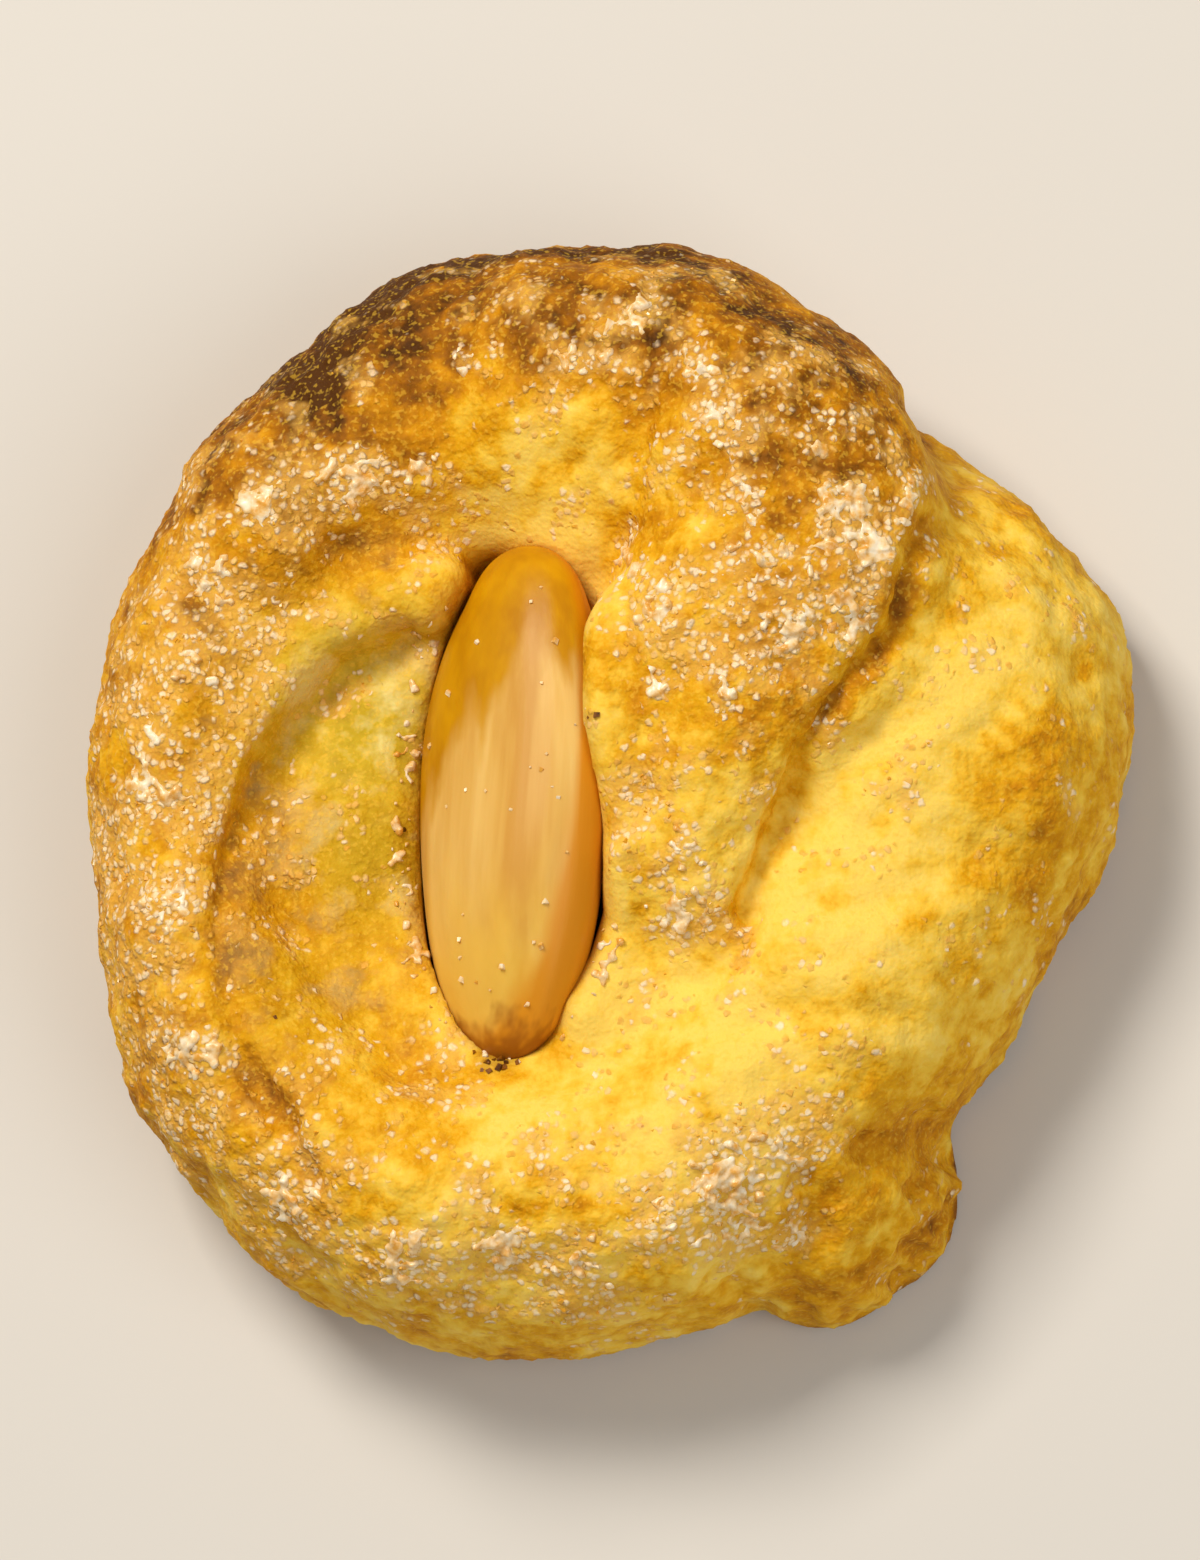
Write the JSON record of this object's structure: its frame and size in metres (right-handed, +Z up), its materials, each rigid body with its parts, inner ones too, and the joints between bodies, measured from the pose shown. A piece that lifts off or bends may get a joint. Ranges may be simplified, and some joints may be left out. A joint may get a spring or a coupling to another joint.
{
  "type": "taralli cookie",
  "caption": "Small coiled ring biscuit of soft rope dough, its tapered end lying over the start, with a skinned almond pressed into the middle and coarse sugar on the crust.",
  "frame": {"origin": "middle of the outline on the flat baked base", "axes": "+Z up through the biscuit, +Y towards the top of the coil where the rope turns inwards, +X towards the pale start of the coil"},
  "size_m": [0.0508, 0.054, 0.019],
  "materials": {
    "baked_dough": "matt sugared biscuit crust, pale yellow in the hollow and golden brown on the raised parts",
    "almond_kernel": "satin skinned almond, toasted orange brown with pale lengthwise streaks"
  },
  "bodies": {
    "root": {"dough": "baked_dough", "almond": "almond_kernel"}
  },
  "joints": []
}
